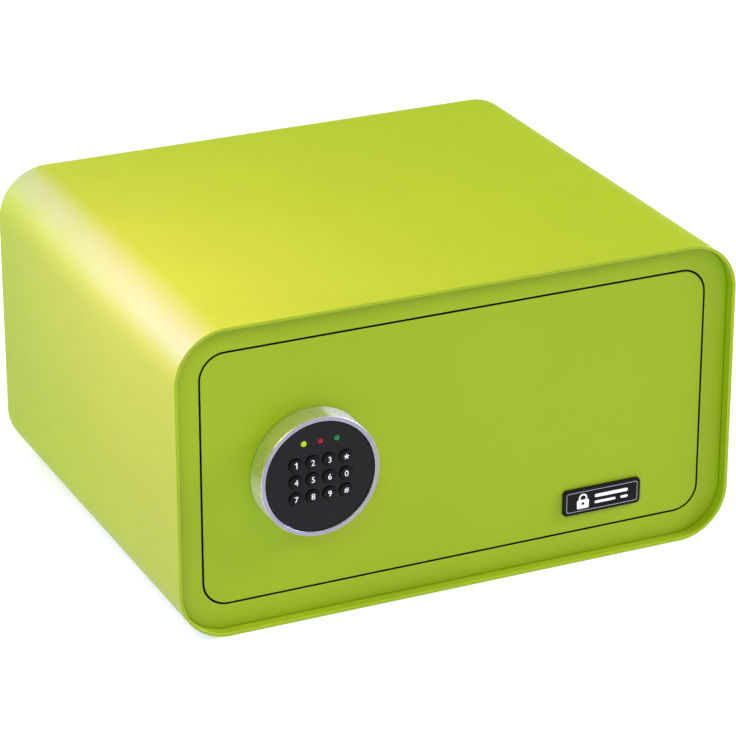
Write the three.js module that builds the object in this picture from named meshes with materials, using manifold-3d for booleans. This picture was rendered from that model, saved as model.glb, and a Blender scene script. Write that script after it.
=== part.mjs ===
// A compact electronic safe with rounded edges: steel shell, flush door on concealed pivots, round keypad
// housing, motor-driven twin bolts, and an emergency key lock behind the keypad.
// Millimetres. +X is right as seen from the front, -Y is the front, +Z is up.
// The origin is on the underside of the shell, midway across the width and midway along the whole depth,
// which runs from the tips of the keys to the back of the shell.
import * as THREE from "three";
import { mergeVertices } from "three/addons/utils/BufferGeometryUtils.js";
import Module from "manifold-3d";

const wasm = await Module();
wasm.setup();

// ---- Driving dimensions ----
const FIT = 0.3; // gap left between neighbouring pieces
const WIDTH = 430;
const DEPTH = 350;
const HEIGHT = 230;
const CORNER_R = 38;
const WALL = 2.5;
const RECESS = 8; // how far the front frame sits behind the shell's front edge
const FRAME_T = 4;
const REAR_T = 2;

const DOOR_W = 386;
const DOOR_H = 186;
const DOOR_R = 18;
const DOOR_T = 4;
const DOOR_GAP = 1.5;
const PIVOT_INSET = 26; // pivot axis from the door's hinge edge, past its rounded corners
const PIVOT_DEPTH = 8; // pivot axis behind the door's front face
const PIN_R = 2.5;

const KEYPAD_X = -113.1; // keypad centre from the door's centre
const KEYPAD_Z = -2.5;
const RING_BASE_R = 45.1;
const RING_FRONT_R = 44.4;
const RING_INNER_R = 42.6;
const RING_HEIGHT = 17.5;
const FACE_R = 40.8;
const FACE_RECESS = 1;
const FACE_T = 3;
const KEY_R = 4.7;
const KEY_PITCH = 12.5;
const KEY_ROW_PITCH = 12.7;
const KEY_PROUD = 1.5;
const KEY_TRAVEL = 1;
const KEY_ROW_Z = -1; // middle row of keys from the keypad's centre
const LED_R = 2.2;
const LED_Z = 26.2;
const LED_PITCH = 12.3;

const BADGE = { x: 114.4, z: -69.9, w: 62.2, h: 19.8, r: 3, t: 2.4 };

const BOLT_R = 10;
const BOLT_Z = 45; // bolts above and below the door's middle
const BOLT_Y = 22; // bolt axis behind the door's front face
const BOLT_TIP_X = -190; // with the bolts drawn in
const BOLT_LENGTH = 76;
const GEAR_MODULE = 1.25;
const PINION_TEETH = 12;
const PINION_X = -80;
const PINION_Z = 30.5;
const PINION_R = (GEAR_MODULE * PINION_TEETH) / 2;
const TOOTH_PITCH = Math.PI * GEAR_MODULE;

const COVER = { x0: -175.2, x1: 112, z: 81, y1: 45, r: 8, t: 1.2 };
const BATTERY = { x: 32, w: 64, h: 68, cellR: 7.1, cellL: 49, pitch: 15.5 };
const RESET = { x: 88, z: -50, r: 3.9 };
const ANCHOR_R = 5;

// ---- Values worked out from them ----
const PROUD = RING_HEIGHT - FACE_RECESS + KEY_PROUD - RECESS; // how far the keys stand out past the shell
const FRONT_Y = (PROUD - DEPTH) / 2;
const REAR_Y = (PROUD + DEPTH) / 2;
const FACE_Y = FRONT_Y + RECESS; // the plane of the frame's and the door's front faces
const MID_Z = HEIGHT / 2;
const OPENING_W = DOOR_W + 2 * DOOR_GAP;
const OPENING_H = DOOR_H + 2 * DOOR_GAP;
const OPENING_R = DOOR_R + DOOR_GAP;
const INNER_W = WIDTH - 2 * WALL;
const INNER_H = HEIGHT - 2 * WALL;
const INNER_R = CORNER_R - WALL;
const PIVOT_X = DOOR_W / 2 - PIVOT_INSET;
const BEHIND_DOOR = DOOR_T + FIT; // where pieces on the door's back begin

// ---- Materials ----
const metal = (color, roughness) => new THREE.MeshStandardMaterial({ color, roughness, metalness: 1 });
const dull = (color, roughness) => new THREE.MeshStandardMaterial({ color, roughness, metalness: 0 });
const greenPaint = dull(0xa0bf30, 0.38);
const blackPlastic = dull(0x1b1c1f, 0.45);
const coverPaint = dull(0x2a2c2e, 0.6);
const chrome = metal(0xdfe3e2, 0.08);
const zincSteel = metal(0xb9bcbe, 0.35);
const brass = metal(0xc9a860, 0.3);
const redPlastic = dull(0xb81722, 0.3);
const sealRubber = dull(0x151515, 0.8);

// ---- Solids ----
function toSolid(geometry) {
  const bare = new THREE.BufferGeometry();
  bare.setAttribute("position", geometry.getAttribute("position"));
  bare.setIndex(geometry.index);
  const merged = mergeVertices(bare, 1e-4);
  const vertProperties = new Float32Array(merged.getAttribute("position").array);
  const triVerts = new Uint32Array(merged.index.array);
  return new wasm.Manifold(new wasm.Mesh({ numProp: 3, vertProperties, triVerts }));
}

function toGeometry(solid) {
  const made = solid.getMesh();
  const geometry = new THREE.BufferGeometry();
  geometry.setAttribute("position", new THREE.BufferAttribute(made.vertProperties, 3));
  geometry.setIndex(new THREE.BufferAttribute(made.triVerts, 1));
  geometry.computeVertexNormals();
  return geometry;
}

const join = (first, ...others) => others.reduce((whole, part) => whole.add(part), first);
const cut = (first, ...others) => others.reduce((whole, part) => whole.subtract(part), first);

// A block between two corners.
function block(x0, x1, y0, y1, z0, z1) {
  const geometry = new THREE.BoxGeometry(x1 - x0, y1 - y0, z1 - z0);
  geometry.translate((x0 + x1) / 2, (y0 + y1) / 2, (z0 + z1) / 2);
  return toSolid(geometry);
}

// A round bar along Y, X or Z, from one place on its axis to another.
function barY(r, x, z, y0, y1, sides = 32) {
  const geometry = new THREE.CylinderGeometry(r, r, y1 - y0, sides);
  geometry.translate(x, (y0 + y1) / 2, z);
  return toSolid(geometry);
}

function barX(r, y, z, x0, x1, sides = 32) {
  const geometry = new THREE.CylinderGeometry(r, r, x1 - x0, sides);
  geometry.rotateZ(-Math.PI / 2);
  geometry.translate((x0 + x1) / 2, y, z);
  return toSolid(geometry);
}

function barZ(r, x, y, z0, z1, sides = 24) {
  const geometry = new THREE.CylinderGeometry(r, r, z1 - z0, sides);
  geometry.rotateX(Math.PI / 2);
  geometry.translate(x, y, (z0 + z1) / 2);
  return toSolid(geometry);
}

// A rectangle with round corners, centred on x, z.
function roundRect(w, h, r, x = 0, z = 0) {
  const shape = new THREE.Shape();
  shape.absarc(x + w / 2 - r, z + h / 2 - r, r, 0, Math.PI / 2);
  shape.absarc(x - w / 2 + r, z + h / 2 - r, r, Math.PI / 2, Math.PI);
  shape.absarc(x - w / 2 + r, z - h / 2 + r, r, Math.PI, 1.5 * Math.PI);
  shape.absarc(x + w / 2 - r, z - h / 2 + r, r, 1.5 * Math.PI, 2 * Math.PI);
  return shape;
}

// A shape drawn in X and Z, given thickness from y0 back to y1.
function plate(shape, y0, y1, curveSegments = 10) {
  const options = { depth: y1 - y0, bevelEnabled: false, curveSegments };
  const geometry = new THREE.ExtrudeGeometry(shape, options);
  geometry.rotateX(Math.PI / 2);
  geometry.translate(0, y1, 0);
  return toSolid(geometry);
}

// A profile drawn in Y and Z, run along X.
function runX(points, x0, x1) {
  const shape = new THREE.Shape(points.map(([y, z]) => new THREE.Vector2(-z, y)));
  const geometry = new THREE.ExtrudeGeometry(shape, { depth: x1 - x0, bevelEnabled: false });
  geometry.rotateY(Math.PI / 2);
  geometry.translate(x0, 0, 0);
  return toSolid(geometry);
}

// A profile drawn in X and Y, run along Z.
function runZ(points, z0, z1) {
  const shape = new THREE.Shape(points.map(([x, y]) => new THREE.Vector2(x, y)));
  const geometry = new THREE.ExtrudeGeometry(shape, { depth: z1 - z0, bevelEnabled: false });
  geometry.translate(0, 0, z0);
  return toSolid(geometry);
}

// A profile of [radius, y] points, turned about the Y axis.
function turned(points, sides = 64) {
  const profile = points.map(([r, y]) => new THREE.Vector2(r, y));
  return toSolid(new THREE.LatheGeometry([...profile, profile[0]], sides));
}

function piece(name, solid, material) {
  const mesh = new THREE.Mesh(toGeometry(solid), material);
  mesh.name = name;
  return mesh;
}

// ---- Cabinet ----
function outerShell() {
  const tube = cut(
    plate(roundRect(WIDTH, HEIGHT, CORNER_R, 0, MID_Z), FRONT_Y, REAR_Y, 12),
    plate(roundRect(INNER_W, INNER_H, INNER_R, 0, MID_Z), FRONT_Y - 1, REAR_Y + 1, 12),
  );
  const holes = [-120, 120].flatMap((x) => [-90, 110].map((y) => barZ(ANCHOR_R, x, y, -1, WALL + 1, 20)));
  return piece("outer_shell", cut(tube, ...holes), greenPaint);
}

// A panel that fills the shell from side to side.
const shellPanel = (y0, y1) =>
  plate(roundRect(INNER_W - FIT, INNER_H - FIT, INNER_R - FIT / 2, 0, MID_Z), y0, y1, 12);

function frontFrame() {
  const opening = roundRect(OPENING_W, OPENING_H, OPENING_R, 0, MID_Z);
  const y1 = FACE_Y + FRAME_T;
  const hole = plate(opening, FACE_Y - 1, y1 + 1);
  return piece("front_frame", cut(shellPanel(FACE_Y, y1), hole), greenPaint);
}

const ANCHOR_X = 80;

function rearPanel() {
  const y0 = REAR_Y - REAR_T;
  const holes = [-ANCHOR_X, ANCHOR_X].map((x) => barY(ANCHOR_R, x, MID_Z, y0 - 1, REAR_Y + 1, 24));
  return piece("rear_panel", cut(shellPanel(y0, REAR_Y), ...holes), greenPaint);
}

// Plastic plug pressed into a rear anchor hole from inside.
function anchorPlug(side, x) {
  const inside = REAR_Y - REAR_T - FIT;
  const head = barY(8, x, MID_Z, inside - 1.6, inside, 24);
  const stem = barY(ANCHOR_R - FIT, x, MID_Z, inside - 0.5, REAR_Y - FIT, 24);
  return piece(`anchor_plug_${side}`, join(head, stem), blackPlastic);
}

// Folded channel behind the frame's left side, which the bolts throw behind.
function strikeChannel() {
  const x0 = -WIDTH / 2 + WALL + 1;
  const x1 = -OPENING_W / 2 - 1.5;
  const y0 = FACE_Y + FRAME_T + FIT;
  const y1 = FACE_Y + BOLT_Y - BOLT_R - 0.6;
  const t = 2;
  const outside = [[x0, y0], [x1, y0], [x1, y1], [x0, y1]];
  const inside = [[x0, y1 - t], [x1 - t, y1 - t], [x1 - t, y0 + t], [x0, y0 + t]];
  return piece("strike_channel", runZ([...outside, ...inside], 38, HEIGHT - 38), zincSteel);
}

// Rubber strip behind the frame's upper or lower edge, which the closed door rests against.
function doorStop(label, sign) {
  const y0 = FACE_Y + FRAME_T + FIT;
  const ends = [DOOR_H / 2 - 6, OPENING_H / 2 + 4].map((z) => MID_Z + sign * z).sort((a, b) => a - b);
  return piece(`door_stop_${label}`, block(-175, 148, y0, y0 + 1.5, ...ends), sealRubber);
}

function hingeBracket(label, sign) {
  const y0 = FACE_Y + FRAME_T + FIT;
  const ordered = (z0, z1) => [MID_Z + sign * z0, MID_Z + sign * z1].sort((a, b) => a - b);
  const leg = block(PIVOT_X - 12, PIVOT_X + 12, y0, y0 + 2, ...ordered(96, 105));
  const ledge = block(PIVOT_X - 12, PIVOT_X + 12, y0, y0 + 15, ...ordered(96, 99));
  const hole = barZ(PIN_R + FIT, PIVOT_X, FACE_Y + PIVOT_DEPTH, ...ordered(94, 101));
  return piece(`hinge_bracket_${label}`, cut(join(leg, ledge), hole), greenPaint);
}

// Felt mat laid on the flat of the floor.
function floorMat() {
  const y0 = FACE_Y + 9;
  const y1 = REAR_Y - REAR_T - 3.5;
  const shape = new THREE.Shape();
  const half = WIDTH / 2 - CORNER_R - 1;
  const r = 6;
  shape.absarc(half - r, y1 - r, r, 0, Math.PI / 2);
  shape.absarc(-half + r, y1 - r, r, Math.PI / 2, Math.PI);
  shape.absarc(-half + r, y0 + r, r, Math.PI, 1.5 * Math.PI);
  shape.absarc(half - r, y0 + r, r, 1.5 * Math.PI, 2 * Math.PI);
  const geometry = new THREE.ExtrudeGeometry(shape, { depth: 3, bevelEnabled: false, curveSegments: 4 });
  geometry.translate(0, 0, WALL + 0.2);
  return piece("floor_mat", toSolid(geometry), dull(0x3a3c40, 1));
}

function cabinet() {
  const group = new THREE.Group();
  group.add(outerShell(), frontFrame(), rearPanel(), strikeChannel(), floorMat());
  group.add(anchorPlug("left", -ANCHOR_X), anchorPlug("right", ANCHOR_X));
  group.add(doorStop("upper", 1), doorStop("lower", -1));
  group.add(hingeBracket("upper", 1), hingeBracket("lower", -1));
  return group;
}

// ---- Door: from here on y is counted back from the door's front face, and x and z from its centre ----
const CABLE_HOLE = { x: KEYPAD_X, z: KEYPAD_Z - 24, r: 3.2 };
const LOCK_R = 9.4;

function doorPanel() {
  const lockHole = barY(LOCK_R + FIT, KEYPAD_X, KEYPAD_Z, -1, DOOR_T + 1);
  const cableHole = barY(CABLE_HOLE.r, CABLE_HOLE.x, CABLE_HOLE.z, -1, DOOR_T + 1, 16);
  const slab = plate(roundRect(DOOR_W, DOOR_H, DOOR_R), 0, DOOR_T);
  return piece("door_panel", cut(slab, lockHole, cableHole), greenPaint);
}

// Upright on the door's back, with a knuckle at each end for a pivot pin.
const KNUCKLE_Z = 71;
const STILE_Z = 92;

function hingeStile() {
  const strip = block(PIVOT_X - 15, PIVOT_X + 9, BEHIND_DOOR, BEHIND_DOOR + 1.5, -STILE_Z, STILE_Z);
  const knuckle = (z0, z1) => block(PIVOT_X - 6, PIVOT_X + 6, BEHIND_DOOR, PIVOT_DEPTH + 4.5, z0, z1);
  const hole = (z0, z1) => barZ(PIN_R + 0.1, PIVOT_X, PIVOT_DEPTH, z0, z1);
  const body = join(strip, knuckle(KNUCKLE_Z, STILE_Z), knuckle(-STILE_Z, -KNUCKLE_Z));
  const made = cut(body, hole(KNUCKLE_Z - 1, STILE_Z + 1), hole(-STILE_Z - 1, -KNUCKLE_Z + 1));
  return piece("hinge_stile", made, greenPaint);
}

function hingePin(label, sign) {
  const ends = [sign * (KNUCKLE_Z + 1), sign * 101].sort((a, b) => a - b);
  return piece(`hinge_pin_${label}`, barZ(PIN_R, PIVOT_X, PIVOT_DEPTH, ...ends), zincSteel);
}

function badgePlate() {
  const outline = roundRect(BADGE.w, BADGE.h, BADGE.r, BADGE.x, BADGE.z);
  return piece("badge_plate", plate(outline, -BADGE.t - 0.1, -0.1, 6), blackPlastic);
}

// Round seat that stays on the door when the keypad housing is pulled off.
function keypadMount() {
  const disc = barY(FACE_R - 0.5, KEYPAD_X, KEYPAD_Z, -4.2, -0.2, 64);
  const lockHole = barY(LOCK_R + FIT, KEYPAD_X, KEYPAD_Z, -5, 1);
  const cableHole = barY(CABLE_HOLE.r, CABLE_HOLE.x, CABLE_HOLE.z, -5, 1, 16);
  const screwSinks = [-1, 1].map((side) => barY(3.5, KEYPAD_X + side * 26, KEYPAD_Z, -5, -2.6, 16));
  return piece("keypad_mount", cut(disc, lockHole, cableHole, ...screwSinks), blackPlastic);
}

// ---- Lock mechanism on the door's back ----
const CHASSIS_T = 1.5;
const CHASSIS_X = -172;
const BOLT_HOLE_R = BOLT_R + 0.4;
const ON_CHASSIS = BEHIND_DOOR + CHASSIS_T + FIT; // where pieces on the chassis begin

function lockChassis() {
  const back = BEHIND_DOOR + CHASSIS_T;
  const base = block(CHASSIS_X, -56, BEHIND_DOOR, back, -63, 63);
  const flange = block(CHASSIS_X, CHASSIS_X + CHASSIS_T, BEHIND_DOOR, 34, -63, 63);
  const ear = (z0, z1) => block(-133, -131.5, BEHIND_DOOR, 34, z0, z1);
  const bores = [-BOLT_Z, BOLT_Z].map((z) => barX(BOLT_HOLE_R, BOLT_Y, z, CHASSIS_X - 1, -130));
  const lockHole = barY(LOCK_R + FIT, KEYPAD_X, KEYPAD_Z, BEHIND_DOOR - 1, back + 1);
  const cableHole = barY(CABLE_HOLE.r, CABLE_HOLE.x, CABLE_HOLE.z, BEHIND_DOOR - 1, back + 1, 16);
  const body = join(base, flange, ear(31, 60), ear(-60, -31));
  return piece("lock_chassis", cut(body, ...bores, lockHole, cableHole), zincSteel);
}

// One tooth as a tapered outline around the Z axis, from its root to its tip.
function toothOutline(root, tip) {
  const left = [[-1.25, root], [-0.8, 0], [-0.48, tip]];
  return [...left, ...left.map(([x, z]) => [-x, z]).reverse()];
}

// Bar across both bolts, with a rack for the motor's pinion and a lug for the emergency cam.
function boltCarriage() {
  const bar = block(-150, -147, 11, 33, -58, 58);
  const pitchZ = PINION_Z - PINION_R;
  const rootZ = pitchZ - 1.5;
  const arm = block(-148, -57, 9, 15, rootZ - 7.5, rootZ);
  const lug = block(-108.5, -104.5, 12, 30, 8.5, rootZ - 2);
  const teeth = [-3, -2, -1, 0, 1, 2, 3, 4].map((step) => {
    const x = PINION_X + (step + 0.5) * TOOTH_PITCH;
    const outline = toothOutline(-2, 1).map(([dx, dz]) => new THREE.Vector2(x + dx, pitchZ + dz));
    return plate(new THREE.Shape(outline.reverse()), 9, 15);
  });
  const bores = [-BOLT_Z, BOLT_Z].map((z) => barX(BOLT_R + 0.1, BOLT_Y, z, -151, -146));
  return piece("bolt_carriage", cut(join(bar, arm, lug, ...teeth), ...bores), zincSteel);
}

function bolt(label, z) {
  const tip = 1.5;
  const body = barX(BOLT_R, BOLT_Y, z, BOLT_TIP_X + tip, BOLT_TIP_X + BOLT_LENGTH);
  const nose = new THREE.CylinderGeometry(BOLT_R, BOLT_R - tip, tip, 32);
  nose.rotateZ(-Math.PI / 2);
  nose.translate(BOLT_TIP_X + tip / 2, BOLT_Y, z);
  return piece(`bolt_${label}`, join(body, toSolid(nose)), chrome);
}

// Motor pinion with its shaft; a tooth points straight down into the rack.
function drivePinion() {
  const disc = barY(PINION_R - 1.4, 0, 0, 9.3, 14.7, 24);
  const teeth = Array.from({ length: PINION_TEETH }, (_, i) => {
    const turn = (i * 2 * Math.PI) / PINION_TEETH;
    const outline = toothOutline(-1.8, 1).map(([along, out]) => {
      const r = PINION_R + out;
      const x = along * Math.cos(turn) + r * Math.sin(turn);
      const z = along * Math.sin(turn) - r * Math.cos(turn);
      return new THREE.Vector2(x, z);
    });
    return plate(new THREE.Shape(outline), 9.3, 14.7);
  });
  const shaft = barY(3, 0, 0, 7.5, 25, 24);
  const mesh = piece("drive_pinion", join(disc, ...teeth, shaft), brass);
  mesh.position.set(PINION_X, 0, PINION_Z);
  return mesh;
}

function gearbox() {
  const body = block(-98, -62, 17, 39, PINION_Z - 16, PINION_Z + 16);
  const boss = barY(6, PINION_X, PINION_Z, 16, 18, 24);
  const foot = block(-98, -62, ON_CHASSIS, 17.5, PINION_Z + 10.5, PINION_Z + 16);
  const shaftHole = barY(3.4, PINION_X, PINION_Z, 15, 26, 24);
  return piece("gearbox", cut(join(body, boss, foot), shaftHole), blackPlastic);
}

function motor() {
  const can = barX(12, 28, PINION_Z, -62 + FIT, -34);
  const endBoss = barX(4, 28, PINION_Z, -35, -31, 20);
  return piece("motor", join(can, endBoss), zincSteel);
}

function emergencyLockBody() {
  const body = turned([[6.3, -4.7], [LOCK_R, -4.7], [LOCK_R, 22], [6.3, 22]], 32);
  const head = turned([[6.3, -6.2], [10.6, -6.2], [11, -5.8], [11, -4.5], [6.3, -4.5]], 32);
  const mesh = piece("emergency_lock_body", join(body, head), chrome);
  mesh.position.set(KEYPAD_X, 0, KEYPAD_Z);
  return mesh;
}

function emergencyLockNut() {
  const hexagon = barY(13, 0, 0, ON_CHASSIS, ON_CHASSIS + 4, 6);
  const bore = barY(LOCK_R + 0.2, 0, 0, ON_CHASSIS - 1, ON_CHASSIS + 5);
  const mesh = piece("emergency_lock_nut", cut(hexagon, bore), zincSteel);
  mesh.position.set(KEYPAD_X, 0, KEYPAD_Z);
  return mesh;
}

const TAIL = 3.2; // half the width of the plug's square tail

function emergencyLockPlug() {
  const plug = barY(6, 0, 0, -6, 23);
  const tail = block(-TAIL, TAIL, 22, 29, -TAIL, TAIL);
  const keyway = block(-0.75, 0.75, -7, 14, -4, 4);
  const mesh = piece("emergency_lock_plug", cut(join(plug, tail), keyway), chrome);
  mesh.position.set(KEYPAD_X, 0, KEYPAD_Z);
  return mesh;
}

// Cam that points at the bolts until the key lifts it against the carriage's lug.
function emergencyCam() {
  const hub = barY(7, 0, 0, 26, 28);
  const finger = block(-22, 0, 26, 28, -4, 4);
  const square = block(-TAIL - 0.2, TAIL + 0.2, 25, 29, -TAIL - 0.2, TAIL + 0.2);
  const mesh = piece("emergency_cam", cut(join(hub, finger), square), zincSteel);
  mesh.position.set(KEYPAD_X, 0, KEYPAD_Z);
  return mesh;
}

function controlBoard() {
  const board = block(-95, -25, 9, 10.6, -62, -8);
  const relay = block(-60, -42, 10, 21, -30, -14);
  const chip = block(-78, -64, 10, 12.6, -40, -26);
  const socket = block(-94, -86, 10, 17, -50, -34);
  const sounder = barY(6, -38, -48, 10, 17, 24);
  const posts = [-90, -62].flatMap((x) => [-57, -13].map((z) => barY(2.5, x, z, ON_CHASSIS, 9.5, 12)));
  return piece("control_board", join(board, relay, chip, socket, sounder, ...posts), dull(0x1f5a35, 0.5));
}

// Lead from the keypad to the control board, through the door.
function keypadCable() {
  const { x, z } = CABLE_HOLE;
  const throughDoor = [-5.8, 0, 5].map((y) => [x, y, z]);
  const toBoard = [[x + 1, 10, z - 2], [-107, 13, -35], [-101, 13.5, -41], [-95, 13.5, -42]];
  const route = [...throughDoor, ...toBoard].map((point) => new THREE.Vector3(...point));
  const curve = new THREE.CatmullRomCurve3(route);
  const section = new THREE.Shape();
  section.absarc(0, 0, 1.9, 0, 2 * Math.PI);
  const tube = new THREE.ExtrudeGeometry(section, { extrudePath: curve, steps: 16, curveSegments: 5 });
  return piece("keypad_cable", toSolid(tube), blackPlastic);
}

// ---- Batteries ----
const TRAY_Y = 22.6;
const LID_Y = 43.6;

function batteryBox() {
  const { x, w, h } = BATTERY;
  const outer = block(x - w / 2, x + w / 2, TRAY_Y, LID_Y - 0.4, -h / 2, h / 2);
  const [halfW, halfH] = [w / 2 - 1.5, h / 2 - 1.5];
  const inner = block(x - halfW, x + halfW, TRAY_Y + 1.5, LID_Y + 1, -halfH, halfH);
  return piece("battery_box", cut(outer, inner), blackPlastic);
}

// Cells lie side by side, each turned end for end from the last.
function battery(index) {
  const z = (index - 1.5) * BATTERY.pitch;
  const half = BATTERY.cellL / 2;
  const can = barX(BATTERY.cellR, 33.7, 0, -half, half, 24);
  const nub = barX(2.7, 33.7, 0, half - 1, half + 1.3, 16);
  const mesh = piece(`battery_${index + 1}`, join(can, nub), zincSteel);
  mesh.position.set(BATTERY.x, 0, z);
  mesh.scale.x = index % 2 ? -1 : 1;
  return mesh;
}

function batteryLid() {
  const { x, w, h } = BATTERY;
  const lid = plate(roundRect(w - 2, h - 2, 2, x, 0), LID_Y, LID_Y + 2, 4);
  const gripX = [0, 1, 2].map((i) => x - w / 2 + 5 + 3 * i);
  const grip = gripX.map((x0) => block(x0, x0 + 1.4, LID_Y + 1.2, LID_Y + 3, -9, 9));
  return piece("battery_lid", cut(lid, ...grip), coverPaint);
}

// ---- Cover over the mechanism ----
function innerCover() {
  const { x0, x1, z, y1, r, t } = COVER;
  const middle = (x0 + x1) / 2;
  const outline = (inset) => roundRect(x1 - x0 - 2 * inset, 2 * (z - inset), r - inset, middle, 0);
  const outer = plate(outline(0), BEHIND_DOOR, y1, 5);
  const hollow = plate(outline(t), BEHIND_DOOR - 1, y1 - t, 5);
  const window = plate(roundRect(BATTERY.w - 1.4, BATTERY.h - 1.4, 2.3, BATTERY.x, 0), y1 - 3, y1 + 1, 4);
  const boltHoles = [-BOLT_Z, BOLT_Z].map((height) => barX(BOLT_R + 0.6, BOLT_Y, height, x0 - 1, x0 + 3));
  const resetHole = barY(RESET.r + 0.4, RESET.x, RESET.z, y1 - 3, y1 + 1, 24);
  return piece("inner_cover", cut(outer, hollow, window, ...boltHoles, resetHole), coverPaint);
}

function resetButton() {
  const { x, z, r } = RESET;
  const inside = COVER.y1 - COVER.t - FIT;
  const cap = barY(r, x, z, inside - 1, COVER.y1 + 1.4, 24);
  const flange = barY(r + 2, x, z, inside - 1.5, inside, 24);
  return piece("reset_button", join(cap, flange), redPlastic);
}

// The button's switch, on a post that stands on the door's back.
function resetSwitch() {
  const { x, z } = RESET;
  const around = (half, y0, y1) => block(x - half, x + half, y0, y1, z - half, z + half);
  const post = join(around(4, BEHIND_DOOR + 1, 29), around(8, BEHIND_DOOR, 7));
  return piece("reset_switch", join(around(6, 28, 39.5), post), blackPlastic);
}

// ---- Keypad housing: x, y and z are counted from its centre on the door's face ----
const FACE_FRONT = -(RING_HEIGHT - FACE_RECESS);
const FACE_BACK = FACE_FRONT + FACE_T;
const FLANGE_T = 1;
const BOARD_Y = FACE_BACK + 4;
const KEYS = [
  ["1", "2", "3", "star"],
  ["4", "5", "6", "0"],
  ["7", "8", "9", "hash"],
];
const keyX = (column) => 0.4 + (column - 1.5) * KEY_PITCH;
const keyZ = (row) => KEY_ROW_Z + (1 - row) * KEY_ROW_PITCH;
const ledX = (index) => 0.4 + (index - 1) * LED_PITCH;

function keypadRing() {
  const seat = FACE_R + FIT;
  const outline = [
    [RING_INNER_R, -FIT],
    [RING_BASE_R, -FIT],
    [RING_FRONT_R + 0.1, -RING_HEIGHT + 0.6],
    [RING_FRONT_R - 0.5, -RING_HEIGHT],
    [seat, -RING_HEIGHT],
    [seat, FACE_BACK + 1],
    [RING_INNER_R, FACE_BACK + 2.5],
  ];
  return piece("keypad_ring", turned(outline.reverse(), 72), chrome);
}

function keypadFace() {
  const disc = barY(FACE_R, 0, 0, FACE_FRONT, FACE_BACK, 72);
  const hole = (r, x, z, sides) => barY(r, x, z, FACE_FRONT - 1, FACE_BACK + 1, sides);
  const keyHoles = KEYS.flatMap((keys, row) =>
    keys.map((_, column) => hole(KEY_R + 0.25, keyX(column), keyZ(row), 24)),
  );
  const ledHoles = [0, 1, 2].map((i) => hole(LED_R + 0.15, ledX(i), LED_Z, 16));
  return piece("keypad_face", cut(disc, ...keyHoles, ...ledHoles), blackPlastic);
}

function keypadKey(label, column, row) {
  const cap = barY(KEY_R, 0, 0, FACE_FRONT - KEY_PROUD, FACE_BACK + FIT + 0.5, 24);
  const flange = barY(KEY_R + 1.1, 0, 0, FACE_BACK + FIT, FACE_BACK + FIT + FLANGE_T, 24);
  const mesh = piece(`key_${label}`, join(cap, flange), blackPlastic);
  mesh.position.set(keyX(column), 0, keyZ(row));
  return mesh;
}

// Silicone dome mat, just behind the keys at the end of their travel.
function keypadMat() {
  const y0 = FACE_BACK + FIT + FLANGE_T + KEY_TRAVEL + FIT;
  const mat = plate(roundRect(56, 43, 4, 0, KEY_ROW_Z), y0, BOARD_Y - 0.2, 4);
  return piece("keypad_mat", mat, dull(0x55585c, 0.8));
}

function keypadBoard() {
  return piece("keypad_board", barY(38, 0, 0, BOARD_Y, BOARD_Y + 1.6, 48), dull(0x1f5a35, 0.5));
}

function led(colour, hex, index) {
  const lens = barY(LED_R, ledX(index), LED_Z, FACE_FRONT - 0.4, BOARD_Y - 0.2, 16);
  return piece(`led_${colour}`, lens, dull(hex, 0.25));
}

function keypad() {
  const group = new THREE.Group();
  group.position.set(KEYPAD_X, 0, KEYPAD_Z);
  group.add(keypadRing(), keypadFace(), keypadMat(), keypadBoard());
  group.add(led("yellow", 0xd4e12a, 0), led("red", 0xb3122a, 1), led("green", 0x0e8a3e, 2));
  KEYS.forEach((keys, row) => keys.forEach((label, column) => group.add(keypadKey(label, column, row))));
  return group;
}

function door() {
  const group = new THREE.Group();
  group.position.set(0, FACE_Y, MID_Z);
  group.add(doorPanel(), hingeStile(), hingePin("upper", 1), hingePin("lower", -1), badgePlate());
  group.add(keypadMount(), lockChassis(), boltCarriage(), bolt("upper", BOLT_Z), bolt("lower", -BOLT_Z));
  group.add(drivePinion(), gearbox(), motor(), controlBoard(), keypadCable());
  group.add(emergencyLockBody(), emergencyLockNut(), emergencyLockPlug(), emergencyCam());
  group.add(batteryBox(), battery(0), battery(1), battery(2), battery(3), batteryLid());
  group.add(innerCover(), resetButton(), resetSwitch(), keypad());
  return group;
}

const safe = new THREE.Group();
safe.add(cabinet(), door());

export default safe;
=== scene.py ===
"""Looks for a compact electronic safe: finer shapes for what shows, materials, lights and camera.

Shapes are worked out in millimetres and scaled as their vertices are made. Lights, camera, floor and the
noises in the materials are in metres. X runs to the right, Y from the door back, and Z up.
"""

import math

import bmesh
import bpy
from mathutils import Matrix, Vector


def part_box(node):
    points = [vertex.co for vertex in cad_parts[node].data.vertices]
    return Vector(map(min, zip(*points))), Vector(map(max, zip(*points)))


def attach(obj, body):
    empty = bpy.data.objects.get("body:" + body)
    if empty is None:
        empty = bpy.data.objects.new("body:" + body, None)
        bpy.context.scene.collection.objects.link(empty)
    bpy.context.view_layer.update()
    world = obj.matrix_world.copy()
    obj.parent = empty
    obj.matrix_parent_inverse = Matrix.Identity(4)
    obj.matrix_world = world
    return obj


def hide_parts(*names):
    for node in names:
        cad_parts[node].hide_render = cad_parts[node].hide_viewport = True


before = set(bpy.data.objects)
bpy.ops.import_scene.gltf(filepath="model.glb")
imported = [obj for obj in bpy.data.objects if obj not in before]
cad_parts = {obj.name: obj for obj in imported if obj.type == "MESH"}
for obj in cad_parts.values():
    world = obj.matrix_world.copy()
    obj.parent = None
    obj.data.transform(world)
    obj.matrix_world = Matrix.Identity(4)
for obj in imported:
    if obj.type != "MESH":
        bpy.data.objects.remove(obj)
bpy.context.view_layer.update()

MM = 0.001
TAU = 2 * math.pi


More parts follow.
